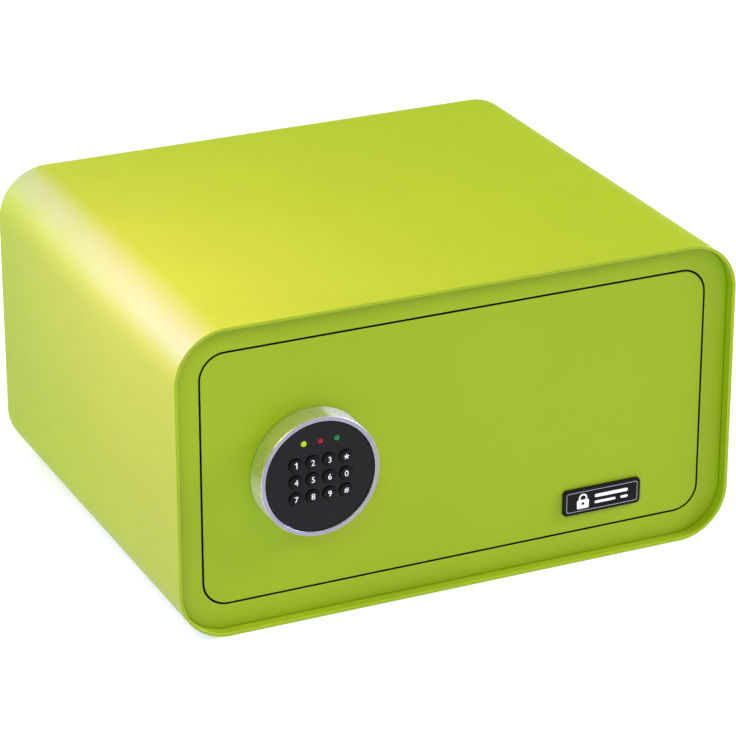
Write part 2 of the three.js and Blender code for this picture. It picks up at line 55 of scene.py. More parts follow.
# ---- Sizes that come from the frame ----
def box_mm(node):
    """A node's lowest and highest corners in millimetres."""
    low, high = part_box(node)
    return [1000 * v for v in low], [1000 * v for v in high]


def middle(node):
    """The middle of a node's box in millimetres."""
    low, high = box_mm(node)
    return [(a + b) / 2 for a, b in zip(low, high)]


shell_low, shell_high = box_mm("outer_shell")
frame_low, frame_high = box_mm("front_frame")
door_low, door_high = box_mm("door_panel")
ring_low, ring_high = box_mm("keypad_ring")
face_low, face_high = box_mm("keypad_face")
badge_low, badge_high = box_mm("badge_plate")
mat_low, mat_high = box_mm("floor_mat")
cover_low, cover_high = box_mm("inner_cover")
MID_Z = (shell_low[2] + shell_high[2]) / 2
WIDTH = shell_high[0] - shell_low[0]
HEIGHT = shell_high[2] - shell_low[2]
KEYPAD_X, _, KEYPAD_Z = middle("keypad_ring")
FACE_R = (face_high[0] - face_low[0]) / 2

# ---- Sizes that repeat the CAD's ----
CORNER_R = 38  # the shell's four long edges
WALL = 2.5  # the shell's steel
ANCHOR_R = 5
ANCHORS = [(x, y) for x in (-120, 120) for y in (-90, 110)]  # the holes in the shell's floor
DOOR_R = 18  # the door's corners
GAP = 1.5  # between the door and the frame
FIT = 0.3  # round a piece in its hole, and behind the door
LOCK_LIP = 1.6  # how far the emergency lock's head reaches past its barrel
CABLE_DROP = 24  # from the keypad's middle down to the cable's hole
CABLE_HOLE_R = 3.2
STRIP_T = 1.5  # the hinge stile's sheet
KEY_R = 4.7
LED_R = 2.2

KEYS = {
    "key_1": "1", "key_2": "2", "key_3": "3", "key_star": "*",
    "key_4": "4", "key_5": "5", "key_6": "6", "key_0": "0",
    "key_7": "7", "key_8": "8", "key_9": "9", "key_hash": "#",
}

LEDS = {  # colour and glow
    "led_yellow": ((0.5, 0.6, 0.006), 0.1),
    "led_red": ((0.31, 0.003, 0.016), 0.05),
    "led_green": ((0.001, 0.2, 0.05), 0.05),
}

# ---- Sizes that only show here ----
GAP_SHADE_FROM = 0.75  # gap faces are painted black, as shade, where their middle lies further than this behind the front
HIGHLIT_DEPTH = 0.45  # rounded edges get glossier, lighter paint, a painted highlight, where their middle is no further behind the front
RIM_HIGHLIT_DEPTH = 0.95  # the same on the shell's rim, whose rounding is larger
LONGEST_EASE = 0.48  # of a side, so that the roundings at its two ends never meet
ON_AXIS = 1e-6  # a radius below this is a point
LED_FIT = 0.15  # round a light in its hole
KEY_CROWN = 0.45  # how much higher a key is in its middle
FIGURE_SIZE = 6.2
HASH_SIZE = 5.6
HALF_FIGURE = 0.05  # half of a figure's thickness as it is made, before it is set in its key


# ---- Meshes ----
def vert(bm, x, y, z):
    """A new vertex, placed in millimetres."""
    return bm.verts.new((x * MM, y * MM, z * MM))


def upright_loop(bm, outline, y):
    """New vertices round an outline of x, z points, all at y."""
    return [vert(bm, x, y, z) for x, z in outline]


def bridge(bm, a, b):
    """Faces between two closed loops that have the same number of vertices."""
    n = len(a)
    for i in range(n):
        bm.faces.new((a[i], a[(i + 1) % n], b[(i + 1) % n], b[i]))


def finish_mesh(name, bm, material, body, **how):
    """Makes a piece of bm. The rest is as in place_mesh."""
    bmesh.ops.recalc_face_normals(bm, faces=bm.faces)
    mesh = bpy.data.meshes.new(name)
    bm.to_mesh(mesh)
    bm.free()
    return place_mesh(name, mesh, material, body, **how)


def place_mesh(name, mesh, material, body, stands_for=(), slot=None, angle=35, weighted=True):
    """Makes a piece that rides on body, smooth except where faces meet at more than angle degrees."""
    for polygon in mesh.polygons:
        polygon.use_smooth = True
    mesh.set_sharp_from_angle(angle=math.radians(angle))
    mesh.materials.append(material)
    obj = bpy.data.objects.new(name, mesh)
    bpy.context.scene.collection.objects.link(obj)
    if weighted:
        weigh(obj)
    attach(obj, body)
    if stands_for:
        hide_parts(*stands_for)
    return obj


def weigh(obj):
    """Keeps large flat faces flat between smooth edges."""
    modifier = obj.modifiers.new("flat faces stay flat", "WEIGHTED_NORMAL")
    modifier.keep_sharp = True
    modifier.weight = 100


def circle(r, x, z, steps):
    """The points of a circle about x, z."""
    turns = [TAU * k / steps for k in range(steps)]
    return [(x + r * math.cos(turn), z + r * math.sin(turn)) for turn in turns]


def hexagon(r, x, z, steps):
    """The points of a hexagon about x, z, whose corners lie r out. steps is a multiple of six."""
    points = []
    for k in range(steps):
        turn = TAU * k / steps
        off_flat = turn % (TAU / 6) - TAU / 12
        reach = r * math.cos(TAU / 12) / math.cos(off_flat)
        points.append((x + reach * math.cos(turn), z + reach * math.sin(turn)))
    return points


def rounded(w, h, r, x, z, steps):
    """The points of a rectangle with round corners about x, z."""
    points = []
    for quarter, (sx, sz) in enumerate(((1, 1), (-1, 1), (-1, -1), (1, -1))):
        corner_x, corner_z = x + sx * (w / 2 - r), z + sz * (h / 2 - r)
        for k in range(steps + 1):
            turn = math.radians(90 * (quarter + k / steps))
            points.append((corner_x + r * math.cos(turn), corner_z + r * math.sin(turn)))
    return points


# An outline is a function that gives its points for an inset: how far its edge is drawn in.
def round_box(low, high, r, steps):
    """The outline of a rectangle with round corners, from the corners of a box seen from the front."""
    w, h = high[0] - low[0], high[2] - low[2]
    x, z = (low[0] + high[0]) / 2, (low[2] + high[2]) / 2
    return lambda inset: rounded(w - 2 * inset, h - 2 * inset, max(r - inset, 0.05), x, z, steps)


def disc(r, x, z, steps):
    """The outline of a round plate."""
    return lambda inset: circle(r - inset, x, z, steps)


def hole(r, x, z, steps=32):
    """The outline of a round hole, which is wider by its inset."""
    return lambda inset: circle(r + inset, x, z, steps)


def slab(outer, holes, y0, y1, front=0.5, back=0.5, hole_front=None, arc=4):
    """A plate from y0 back to y1, inside the outline outer and outside those in holes.

    Its edges are rounded in arc steps, by the radius front at y0 and back at y1. At y0 the holes' edges take
    the radius hole_front if there is one.
    """
    bm = bmesh.new()
    turns = [math.radians(90 * k / arc) for k in range(arc + 1)]
    first, last = [], []
    for outline, ease in [(outer, front)] + [(each, hole_front or front) for each in holes]:
        ahead = [(ease * (1 - math.sin(t)), y0 + ease * (1 - math.cos(t))) for t in turns]
        behind = [(back * (1 - math.cos(t)), y1 - back * (1 - math.sin(t))) for t in turns]
        rings = [upright_loop(bm, outline(inset), y) for inset, y in ahead + behind]
        for a, b in zip(rings, rings[1:]):
            bridge(bm, a, b)
        first.append(rings[0])
        last.append(rings[-1])
    for rings in (first, last):
        if holes:
            edges = [bm.edges.get(ends) for ring in rings for ends in zip(ring, ring[1:] + ring[:1])]
            bmesh.ops.triangle_fill(bm, use_beauty=True, use_dissolve=False, edges=edges)
        else:
            bm.faces.new(rings[0])
    return bm


def eased(points, radius, steps=4, closed=True):
    """Rounds the corners of a line of (a, b) points. radius is one number, or one for each corner."""
    n = len(points)
    radii = radius if isinstance(radius, list) else [radius] * n
    result = []
    for i, (point, r) in enumerate(zip(points, radii)):
        if not closed and i in (0, n - 1):
            result.append(tuple(point))
            continue
        p, before, after = Vector(point), Vector(points[i - 1]), Vector(points[(i + 1) % n])
        a = p + (before - p).normalized() * min(r, LONGEST_EASE * (before - p).length)
        b = p + (after - p).normalized() * min(r, LONGEST_EASE * (after - p).length)
        for k in range(steps + 1):
            t = k / steps
            result.append(tuple(a.lerp(p, t).lerp(p.lerp(b, t), t)))
    return result


def lathe(profile, x, z, steps, closed=True):
    """Turns a profile of (radius, y) about a line along Y. A point on the line closes that end."""
    bm = bmesh.new()
    rings = []
    for r, y in profile:
        on_axis = r < ON_AXIS
        rings.append(vert(bm, x, y, z) if on_axis else upright_loop(bm, circle(r, x, z, steps), y))
    following = rings[1:] + rings[:1] if closed else rings[1:]
    for a, b in zip(rings, following):
        if isinstance(a, list) and isinstance(b, list):
            bridge(bm, a, b)
            continue
        ring, pole = (a, b) if isinstance(a, list) else (b, a)
        for k in range(steps):
            bm.faces.new((ring[k], ring[(k + 1) % steps], pole))
    return bm


def cut_round_holes(bm, places, r, z0, z1):
    """Cuts upright round holes through a closed mesh, at each x, y, by a boolean that is applied here."""
    bmesh.ops.recalc_face_normals(bm, faces=bm.faces)
    cutter = bmesh.new()
    for x, y in places:
        ends = [[vert(cutter, a, b, z) for a, b in circle(r, x, y, 32)] for z in (z0, z1)]
        bridge(cutter, *ends)
        for end in ends:
            cutter.faces.new(end)
    bmesh.ops.recalc_face_normals(cutter, faces=cutter.faces)
    made = []
    for label, each in (("whole", bm), ("cutter", cutter)):
        mesh = bpy.data.meshes.new(label)
        each.to_mesh(mesh)
        obj = bpy.data.objects.new(label, mesh)
        bpy.context.scene.collection.objects.link(obj)
        made.append(obj)
    modifier = made[0].modifiers.new("holes", "BOOLEAN")
    modifier.operation = "DIFFERENCE"
    modifier.solver = "EXACT"
    modifier.object = made[1]
    graph = bpy.context.evaluated_depsgraph_get()
    result = bpy.data.meshes.new_from_object(made[0].evaluated_get(graph))
    bm.clear()
    bm.from_mesh(result)
    cutter.free()
    for obj in made:
        mesh = obj.data
        bpy.data.objects.remove(obj)
        bpy.data.meshes.remove(mesh)
    bpy.data.meshes.remove(result)


# ---- Materials ----
def new_material(name, color, rough, metal=0.0, **sockets):
    """A Principled material. Constants are set on the shader's own sockets, named with _ for a space."""
    material = bpy.data.materials.new(name)
    material.use_nodes = True
    shader = shader_of(material)
    shader.inputs["Base Color"].default_value = (*color, 1)
    shader.inputs["Roughness"].default_value = rough
    shader.inputs["Metallic"].default_value = metal
    for socket, value in sockets.items():
        shader.inputs[socket.replace("_", " ")].default_value = value
    return material


def shader_of(material):
    """The node that gives the surface."""
    return material.node_tree.nodes["Principled BSDF"]


def node(material, kind, **values):
    """A new node. Each value is a property of the node or, if it has none of that name, an input."""
    made = material.node_tree.nodes.new(kind)
    for key, value in values.items():
        if hasattr(made, key):
            setattr(made, key, value)
        else:
            made.inputs[key].default_value = value
    return made


def link(material, source, target):
    """Joins one node's output to another's input."""
    material.node_tree.links.new(source, target)


def own_place(material, kind="Object"):
    """Where a point of the piece is: in metres in the frame, or as Generated, from 0 to 1 along its box."""
    return node(material, "ShaderNodeTexCoord").outputs[kind]


def noise_at(material, scale, stretch=(1, 1, 1), detail=2.0, rough=0.5):
    """A noise over the piece's own place, with scale in waves per metre."""
    mapping = node(material, "ShaderNodeMapping", Scale=stretch)
    link(material, own_place(material), mapping.inputs["Vector"])
    texture = node(material, "ShaderNodeTexNoise", Scale=scale, Detail=detail, Roughness=rough)
    link(material, mapping.outputs["Vector"], texture.inputs["Vector"])
    return texture.outputs["Fac"]


def remap(material, value, low, high, in_low=0.3, in_high=0.7):
    """Brings a value that runs from in_low to in_high to the range from low to high."""
    made = node(material, "ShaderNodeMapRange")
    for socket, number in (("From Min", in_low), ("From Max", in_high), ("To Min", low), ("To Max", high)):
        made.inputs[socket].default_value = number
    link(material, value, made.inputs["Value"])
    return made.outputs["Result"]


def vector_math(material, operation, vector, other=(0, 0, 0)):
    """A vector's difference, product or dot product with other, or its unit vector."""
    made = node(material, "ShaderNodeVectorMath", operation=operation)
    link(material, vector, made.inputs[0])
    made.inputs[1].default_value = other
    return made.outputs["Value" if operation == "DOT_PRODUCT" else "Vector"]


def add_bump(material, height, depth, strength):
    """Chains a bump of depth metres in front of any that the shader already has."""
    bump = node(material, "ShaderNodeBump", Strength=strength, Distance=depth)
    link(material, height, bump.inputs["Height"])
    normal = shader_of(material).inputs["Normal"]
    if normal.is_linked:
        link(material, normal.links[0].from_socket, bump.inputs["Normal"])
    link(material, bump.outputs["Normal"], normal)


def vary_color(material, value, a, b, in_low=0.3, in_high=0.7):
    """Runs the colour from a to b as value runs from in_low to in_high."""
    mix = node(material, "ShaderNodeMix", data_type="RGBA")
    color_inputs = [socket for socket in mix.inputs if socket.type == "RGBA"]
    for socket, color in zip(color_inputs, (a, b)):
        socket.default_value = (*color, 1)
    link(material, remap(material, value, 0, 1, in_low, in_high), mix.inputs[0])
    mixed = next(socket for socket in mix.outputs if socket.type == "RGBA")
    link(material, mixed, shader_of(material).inputs["Base Color"])


def vary_rough(material, value, low, high):
    """Runs the roughness from low to high over the middle of a noise's range."""
    link(material, remap(material, value, low, high), shader_of(material).inputs["Roughness"])


def shade(color, factor):
    """A colour made lighter or darker."""
    return tuple(min(c * factor, 1) for c in color)


def powder_coat(name, color, rough=0.5, specular=0.25):
    """Baked powder paint: a faint orange peel, a finer grain, and slight drift in colour and gloss."""
    material = new_material(name, color, rough, Specular_IOR_Level=specular)
    vary_color(material, noise_at(material, 9, detail=3), shade(color, 0.98), shade(color, 1.02))
    vary_rough(material, noise_at(material, 60, detail=4), rough - 0.03, rough + 0.03)
    add_bump(material, noise_at(material, 420, detail=1.5), 0.00005, 0.35)
    add_bump(material, noise_at(material, 2600, detail=1), 0.000012, 0.5)
    return material


def plastic(name, color, rough, grain=1500, depth=0.00002, **sockets):
    """Moulded plastic with a spark-eroded grain."""
    material = new_material(name, color, rough, **sockets)
    vary_color(material, noise_at(material, 30, detail=3), shade(color, 0.9), shade(color, 1.12))
    vary_rough(material, noise_at(material, 220, detail=3), rough - 0.05, rough + 0.05)
    add_bump(material, noise_at(material, grain, detail=2), depth, 0.6)
    return material


def bare_metal(name, color, rough, stretch=(1, 1, 1), scale=900, depth=0.00001):
    """Metal with fine scratches, which are drawn out along an axis where stretch is small."""
    material = new_material(name, color, rough, metal=1.0)
    vary_color(material, noise_at(material, 40, detail=4), shade(color, 0.92), shade(color, 1.04))
    low, high = max(rough - 0.06, 0.02), rough + 0.06
    vary_rough(material, noise_at(material, scale, stretch, detail=3), low, high)
    add_bump(material, noise_at(material, scale * 2, stretch, detail=2), depth, 0.5)
    return material


def silvered_plastic():
    """Metallised plastic, turned bright and lacquered, with two fans round the ring where it is paler:
    painted highlight streaks, made by less metal.
    """
    material = new_material("silvered_plastic", (0.8, 0.82, 0.8), 0.22, metal=0.8)
    from_middle = vector_math(material, "SUBTRACT", own_place(material), (KEYPAD_X * MM, 0, KEYPAD_Z * MM))
    outward = vector_math(material, "NORMALIZE", vector_math(material, "MULTIPLY", from_middle, (1, 0, 1)))
    painted_streaks = []
    # Painted highlight: the metal falls off toward two angles round the ring, which then looks paler.
    for degrees, starts_at, full_at in ((66, 0.95, 0.985), (196, 0.9, 0.99)):
        turn = math.radians(degrees)
        along = vector_math(material, "DOT_PRODUCT", outward, (math.cos(turn), 0, math.sin(turn)))
        painted_streaks.append(remap(material, along, 0, 1, starts_at, full_at))
    stronger = node(material, "ShaderNodeMath", operation="MAXIMUM")
    for socket, painted_streak in zip(stronger.inputs, painted_streaks):
        link(material, painted_streak, socket)
    metal = remap(material, stronger.outputs["Value"], 0.88, 0.35, 0, 1)
    link(material, metal, shader_of(material).inputs["Metallic"])
    vary_rough(material, noise_at(material, 120, detail=2), 0.26, 0.3)
    return material


def lens(name, color, glow):
    """Tinted clear plastic over a dim light."""
    light = {"Emission_Color": (*color, 1), "Emission_Strength": glow}
    material = new_material(name, color, 0.3, Specular_IOR_Level=0.3, **light)
    vary_rough(material, noise_at(material, 800), 0.14, 0.24)
    return material


def felt_material():
    """Needled fibres, drawn out one way in one layer and the other way in the next."""
    material = new_material("felt", (0.035, 0.036, 0.04), 0.95, Sheen_Weight=0.5, Sheen_Roughness=0.4)
    clumps = noise_at(material, 260, detail=6, rough=0.7)
    vary_color(material, clumps, (0.022, 0.023, 0.026), (0.055, 0.056, 0.062))
    add_bump(material, noise_at(material, 700, (1, 0.35, 1), detail=6, rough=0.7), 0.0006, 0.9)
    add_bump(material, noise_at(material, 1900, (0.4, 1, 1), detail=4, rough=0.6), 0.0003, 0.7)
    return material


def board_material():
    """Solder mask over copper tracks, which show as a slightly lighter, raised pattern."""
    material = new_material("circuit_board", (0.012, 0.09, 0.04), 0.35, Coat_Weight=0.4)
    upright = node(material, "ShaderNodeMapping", Rotation=(math.radians(90), 0, 0))
    link(material, own_place(material), upright.inputs["Vector"])
    tracks = node(material, "ShaderNodeTexBrick", Scale=160.0)
    tracks.inputs["Mortar Size"].default_value = 0.1
    link(material, upright.outputs["Vector"], tracks.inputs["Vector"])
    vary_color(material, tracks.outputs["Fac"], (0.012, 0.085, 0.035), (0.03, 0.17, 0.07), 0, 1)
    add_bump(material, tracks.outputs["Fac"], 0.00003, 0.8)
    return material


def battery_material():
    """A printed sleeve: dark blue, and pale over the last part of its length."""
    material = new_material("battery", (0.05, 0.09, 0.2), 0.3, metal=0.2, Coat_Weight=0.5)
    split = node(material, "ShaderNodeSeparateXYZ")
    link(material, own_place(material, "Generated"), split.inputs["Vector"])
    vary_color(material, split.outputs["X"], (0.04, 0.1, 0.24), (0.62, 0.63, 0.65), 0.7, 0.71)
    vary_rough(material, noise_at(material, 400, detail=3), 0.24, 0.36)
    return material


GREEN = (0.345, 0.485, 0.009)
FACE_BLACK = (0.0055, 0.0062, 0.0062)
KEY_BLACK = (0.004, 0.004, 0.0045)
# The next black is painted shade, on the gap's walls and the door stops behind it.
GAP_SHADE_BLACK = (0.004, 0.004, 0.004)
BADGE_BLACK = (0.003, 0.003, 0.0033)
WHITE = (0.88, 0.88, 0.88)
# The print's faint glow is painted light: it makes the print whiter than the lamps do.
DIM_WHITE_LIGHT = {"Emission_Color": (1, 1, 1, 1), "Emission_Strength": 0.2}

green = powder_coat("green_powder_coat", GREEN)
# Edge paint: glossier, and 12 % lighter in colour as a painted highlight along the rounded edges.
edge_gloss_and_highlight = powder_coat("green_paint_gloss_and_highlight_at_edges", shade(GREEN, 1.12), rough=0.22, specular=0.6)
chrome = bare_metal("chrome", (0.86, 0.88, 0.87), 0.07, scale=300, depth=0.000002)
satin_rim = bare_metal("satin_rim", (0.38, 0.39, 0.43), 0.4, scale=1500)
zinc = bare_metal("zinc_steel", (0.66, 0.68, 0.7), 0.36, stretch=(0.1, 1, 1), scale=700)
brass = bare_metal("brass", (0.7, 0.5, 0.22), 0.28)
silvered = silvered_plastic()
face_black = plastic("face_black", FACE_BLACK, 0.5, grain=2400, depth=0.000012, Specular_IOR_Level=0.22)
key_black = plastic("key_black", KEY_BLACK, 0.36, grain=3000, depth=0.000006, Specular_IOR_Level=0.14)
black = plastic("black_plastic", (0.014, 0.014, 0.016), 0.45)
cover_black = plastic("cover_plastic", (0.03, 0.032, 0.035), 0.55, grain=900, depth=0.00006)
silicone = plastic("grey_silicone", (0.09, 0.1, 0.11), 0.7)
red_button = plastic("red_plastic", (0.5, 0.01, 0.02), 0.28, grain=2000, depth=0.000006)
# White print with a faint glow, which is painted light.
print_white = plastic("white_print", WHITE, 0.5, grain=2500, depth=0.000002, **DIM_WHITE_LIGHT)
print_silver = bare_metal("silver_print", (0.5, 0.5, 0.52), 0.35)
# Painted shade: black on the walls of the gap round the door and on the stops behind it.
gap_shade_black = plastic("gap_shade_black", GAP_SHADE_BLACK, 0.7, grain=900, depth=0.00001, Specular_IOR_Level=0.1)
badge_black = plastic("badge_black", BADGE_BLACK, 0.45, grain=1800, depth=0.000004, Specular_IOR_Level=0.15)
felt = felt_material()
board = board_material()
battery = battery_material()


# ---- CAD nodes that keep their shape ----
def dress(name, material, edge):
    """Gives a CAD node its material, and softens its edges by a bevel of edge millimetres."""
    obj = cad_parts[name]
    for slot in obj.material_slots:
        slot.material = material
    if edge:
        bevel = obj.modifiers.new("soft edges", "BEVEL")
        bevel.width = edge * MM
        bevel.segments = 2
        bevel.limit_method = "ANGLE"
        bevel.angle_limit = math.radians(40)
        for polygon in obj.data.polygons:
            polygon.use_smooth = True
        obj.data.set_sharp_from_angle(angle=math.radians(35))
        weigh(obj)


DRESSES = [
    (green, 0.3, ["rear_panel", "hinge_bracket_upper", "hinge_bracket_lower", "hinge_stile"]),
    # The door stops behind the gap are painted black as shade.
    (gap_shade_black, 0.3, ["door_stop_upper", "door_stop_lower"]),
    (zinc, 0.3, ["strike_channel", "lock_chassis", "bolt_carriage", "motor", "emergency_lock_nut"]),
    (zinc, 0.3, ["emergency_cam", "hinge_pin_upper", "hinge_pin_lower"]),
    (chrome, 0.3, ["bolt_upper", "bolt_lower", "emergency_lock_body", "emergency_lock_plug"]),
    (brass, 0.12, ["drive_pinion"]),
    (black, 0.3, ["anchor_plug_left", "anchor_plug_right", "keypad_mount", "gearbox", "battery_box"]),
    (black, 0.3, ["reset_switch"]),
    (black, 0, ["keypad_cable"]),
    (cover_black, 0.5, ["inner_cover", "battery_lid"]),
    (silicone, 0.3, ["keypad_mat"]),
    (board, 0.15, ["control_board", "keypad_board"]),
    (battery, 0.4, ["battery_1", "battery_2", "battery_3", "battery_4"]),
    (red_button, 0.5, ["reset_button"]),
]
for material, edge, names in DRESSES:
    for name in names:
        dress(name, material, edge)


# ---- Second materials on some faces of a piece ----
def paint_faces(obj, material, picks):
    """Gives material to the faces for which picks(x, y, z, facing) is true.

    x, y, z is the face's middle in millimetres, and facing is 1 where it looks straight to the front and 0
    where it stands square to that.
    """
    obj.data.materials.append(material)
    slot = len(obj.data.materials) - 1
    for polygon in obj.data.polygons:
        x, y, z = (v / MM for v in polygon.center)
        if picks(x, y, z, -polygon.normal.y):
            polygon.material_index = slot


def shade_gap_sides(obj, y0, y1, near):
    """Paints the sides between y0 and y1 black, as shade in the gap, where near(x, z) is true."""

    def picks(x, y, z, facing):
        return y0 < y < y1 and abs(facing) < 0.5 and near(x, z)

    paint_faces(obj, gap_shade_black, picks)


def gloss_and_highlight_edges(obj, y0, depth, near=lambda x, z: True):
    """Puts glossier paint, lighter as a painted highlight, on the rounded edges in the first depth behind
    y0, where near(x, z) is true.
    """

    def picks(x, y, z, facing):
        return y0 <= y <= y0 + depth and 0.08 < facing < 0.98 and near(x, z)

    paint_faces(obj, edge_gloss_and_highlight, picks)


# ---- Cabinet ----
def shell():
    """The wrapped tube, with rounded edges on both rims and four anchor holes in its floor."""
    front, back = shell_low[1], shell_high[1]
    corners = [(0, front), (0, back), (WALL, back), (WALL, front)]
    rim_radii = [0.5, 0.8, 0.6, 0.9]
    bm = bmesh.new()
    rings = []
    for inset, y in eased(corners, rim_radii, 5):
        w, h = WIDTH - 2 * inset, HEIGHT - 2 * inset
        rings.append(upright_loop(bm, rounded(w, h, CORNER_R - inset, 0, MID_Z, 28), y))
    for a, b in zip(rings, rings[1:] + rings[:1]):
        bridge(bm, a, b)
    cut_round_holes(bm, ANCHORS, ANCHOR_R, -1, WALL + 1)
    slot = "green_powder_coat"
    return finish_mesh("shell", bm, green, "cabinet", stands_for=["outer_shell"], slot=slot)


# The rim's rounded front edges get lighter, glossier paint: a painted highlight.
gloss_and_highlight_edges(shell(), shell_low[1], RIM_HIGHLIT_DEPTH)

opening_low = [door_low[0] - GAP, 0, door_low[2] - GAP]
opening_high = [door_high[0] + GAP, 0, door_high[2] + GAP]
opening = round_box(opening_low, opening_high, DOOR_R + GAP, 20)


def near_opening(x, z):
    """True up to 1 mm outside the opening in the frame."""
    half_height = (opening_high[2] - opening_low[2]) / 2
    return abs(x) < opening_high[0] + 1 and abs(z - MID_Z) < half_height + 1


def frame_plate():
    """The steel frame round the door, which fills the shell's front."""
    outline = round_box(frame_low, frame_high, CORNER_R - WALL - 0.15, 28)
    y0, y1 = frame_low[1], frame_high[1]
    bm = slab(outline, [lambda inset: opening(-inset)], y0, y1, front=0.6, back=0.3, hole_front=0.4)
    slot = "green_powder_coat"
    obj = finish_mesh("frame_plate", bm, green, "cabinet", stands_for=["front_frame"], slot=slot)
    # The opening's sides in the gap are painted black as shade.
    shade_gap_sides(obj, y0 + GAP_SHADE_FROM, y1 - 0.2, near_opening)
    # The opening's front edges get lighter, glossier paint: a painted highlight.
    gloss_and_highlight_edges(obj, y0, HIGHLIT_DEPTH, near_opening)


frame_plate()


def floor_mat():
    """Needled felt: a thin soft-edged sheet with a slightly uneven top."""
    (x0, y0, z0), (x1, y1, z1) = mat_low, mat_high
    edge = 1.2  # how far in the soft edge reaches
    sunk = 0.35  # keeps the waves, 0.3 at most, below the top of the CAD's mat
    bm = bmesh.new()

    def height(x, y):
        inside = min(x - x0, x1 - x, y - y0, y1 - y)
        drop = 0 if inside > edge else (edge - inside) ** 2 * 0.9
        short_wave = 0.18 * math.sin(x * 0.061 + 0.7) * math.sin(y * 0.047 + 0.3)
        long_wave = 0.12 * math.sin(x * 0.023 - y * 0.031)
        return z1 - sunk - drop + (short_wave + long_wave)

    def lines(low, high, steps):
        """Close lines over the two soft edges, and even steps between them."""
        even = [low + edge + (high - low - 2 * edge) * i / steps for i in range(steps + 1)]
        return [low, low + 0.4, low + 0.8, *even, high - 0.8, high - 0.4, high]

    xs, ys = lines(x0, x1, 88), lines(y0, y1, 82)
    top = [[vert(bm, x, y, height(x, y)) for y in ys] for x in xs]
    under = [[vert(bm, x, y, z0) for y in (ys[0], ys[-1])] for x in (xs[0], xs[-1])]
    for i in range(len(xs) - 1):
        for j in range(len(ys) - 1):
            bm.faces.new((top[i][j], top[i + 1][j], top[i + 1][j + 1], top[i][j + 1]))
    bm.faces.new((under[0][0], under[1][0], under[1][1], under[0][1]))
    sides = (
        ([row[0] for row in top], under[0][0], under[1][0]),
        (top[-1], under[1][0], under[1][1]),
        ([row[-1] for row in reversed(top)], under[1][1], under[0][1]),
        (list(reversed(top[0])), under[0][1], under[0][0]),
    )
    for line, a, b in sides:
        bm.faces.new([a, *line, b][::-1])
    how = {"stands_for": ["floor_mat"], "slot": "felt", "angle": 60, "weighted": False}
    return finish_mesh("felt_mat", bm, felt, "cabinet", **how)


mat_piece = floor_mat()


# ---- Door ----
def off_keypad(x, z):
    """False near the two holes behind the keypad, whose edges get neither the painted gap shade nor the
    painted edge highlight.
    """
    return math.hypot(x - KEYPAD_X, z - KEYPAD_Z) > 40


def door_slab():
    """The door's front plate, with a hole for the emergency lock and one for the keypad's cable."""
    lock_low, lock_high = box_mm("emergency_lock_body")
    lock_hole_r = (lock_high[0] - lock_low[0]) / 2 - LOCK_LIP + FIT
    lock_hole = hole(lock_hole_r, KEYPAD_X, KEYPAD_Z)
    cable_hole = hole(CABLE_HOLE_R, KEYPAD_X, KEYPAD_Z - CABLE_DROP, 20)
    outline = round_box(door_low, door_high, DOOR_R, 20)
    y0, y1 = door_low[1], door_high[1]
    bm = slab(outline, [lock_hole, cable_hole], y0, y1, front=0.4, hole_front=0.3)
    slot = "green_powder_coat"
    obj = finish_mesh("door_slab", bm, green, "door", stands_for=["door_panel"], slot=slot)
    # The door's sides in the gap are painted black as shade.
    shade_gap_sides(obj, y0 + GAP_SHADE_FROM, y1 - 0.3, off_keypad)
    # The door's front edges get lighter, glossier paint: a painted highlight.
    gloss_and_highlight_edges(obj, y0, HIGHLIT_DEPTH, off_keypad)


door_slab()


# ---- Fixings, seen with the door open or the keypad pulled off ----
def screw(name, x, y, z, r, h, way=-1):
    """A button-head screw with a hex socket. It stands h proud of y, toward -Y or, with way 1, toward +Y."""
    tip = y + way * h
    shoulder = (r, y + way * 0.35 * h)
    crown = (0.86 * r, y + way * 0.78 * h)
    socket_r, socket_depth = 0.5 * r, 0.55 * h
    head = [(r, y), shoulder, crown, (0.66 * r, tip), (socket_r + 0.15, tip)]
    bm = bmesh.new()
    loops = [upright_loop(bm, circle(radius, x, z, 24), depth) for radius, depth in head]
    for depth in (tip, tip - way * socket_depth):
        loops.append(upright_loop(bm, hexagon(socket_r, x, z, 24), depth))
    for a, b in zip(loops, loops[1:]):
        bridge(bm, a, b)
    bm.faces.new(loops[0])
    bm.faces.new(loops[-1])
    finish_mesh(name, bm, zinc, "door", angle=30)


def mount_screws():
    """Two screws that hold the keypad's seat, with their heads in its sinks."""
    from_middle, sunk = 26, 2.3
    y = box_mm("keypad_mount")[0][1] + sunk
    for number, side in enumerate((-1, 1), 1):
        screw(f"mount_screw_{number}", KEYPAD_X + side * from_middle, y, KEYPAD_Z, r=3.1, h=1.7)


def cover_screws():
    """Four screws near the corners of the door's inner cover."""
    from_end, from_middle = 12, 68
    left, right = cover_low[0] + from_end, cover_high[0] - from_end
    y = cover_high[1] + 0.05
    for number, (x, up) in enumerate(((left, 1), (left, -1), (right, 1), (right, -1)), 1):
        screw(f"cover_screw_{number}", x, y, MID_Z + up * from_middle, r=3.4, h=1.7, way=1)


def stile_welds():
    """Spot welds down the hinge stile: low dimples with a raised rim, painted over."""
    stile_low, stile_high = box_mm("hinge_stile")
    x = (stile_low[0] + stile_high[0]) / 2 + 1
    y = door_high[1] + FIT + STRIP_T + 0.02
    profile = [(0, y + 0.1), (1.6, y + 0.12), (2.3, y + 0.38), (3.0, y + 0.05), (3.0, y), (0, y)]
    for number, dz in enumerate((-55, -33, -11, 11, 33, 55), 1):
        bm = lathe(profile, x, MID_Z + dz, 20, closed=False)
        finish_mesh(f"stile_weld_{number}", bm, green, "door", angle=70, weighted=False)


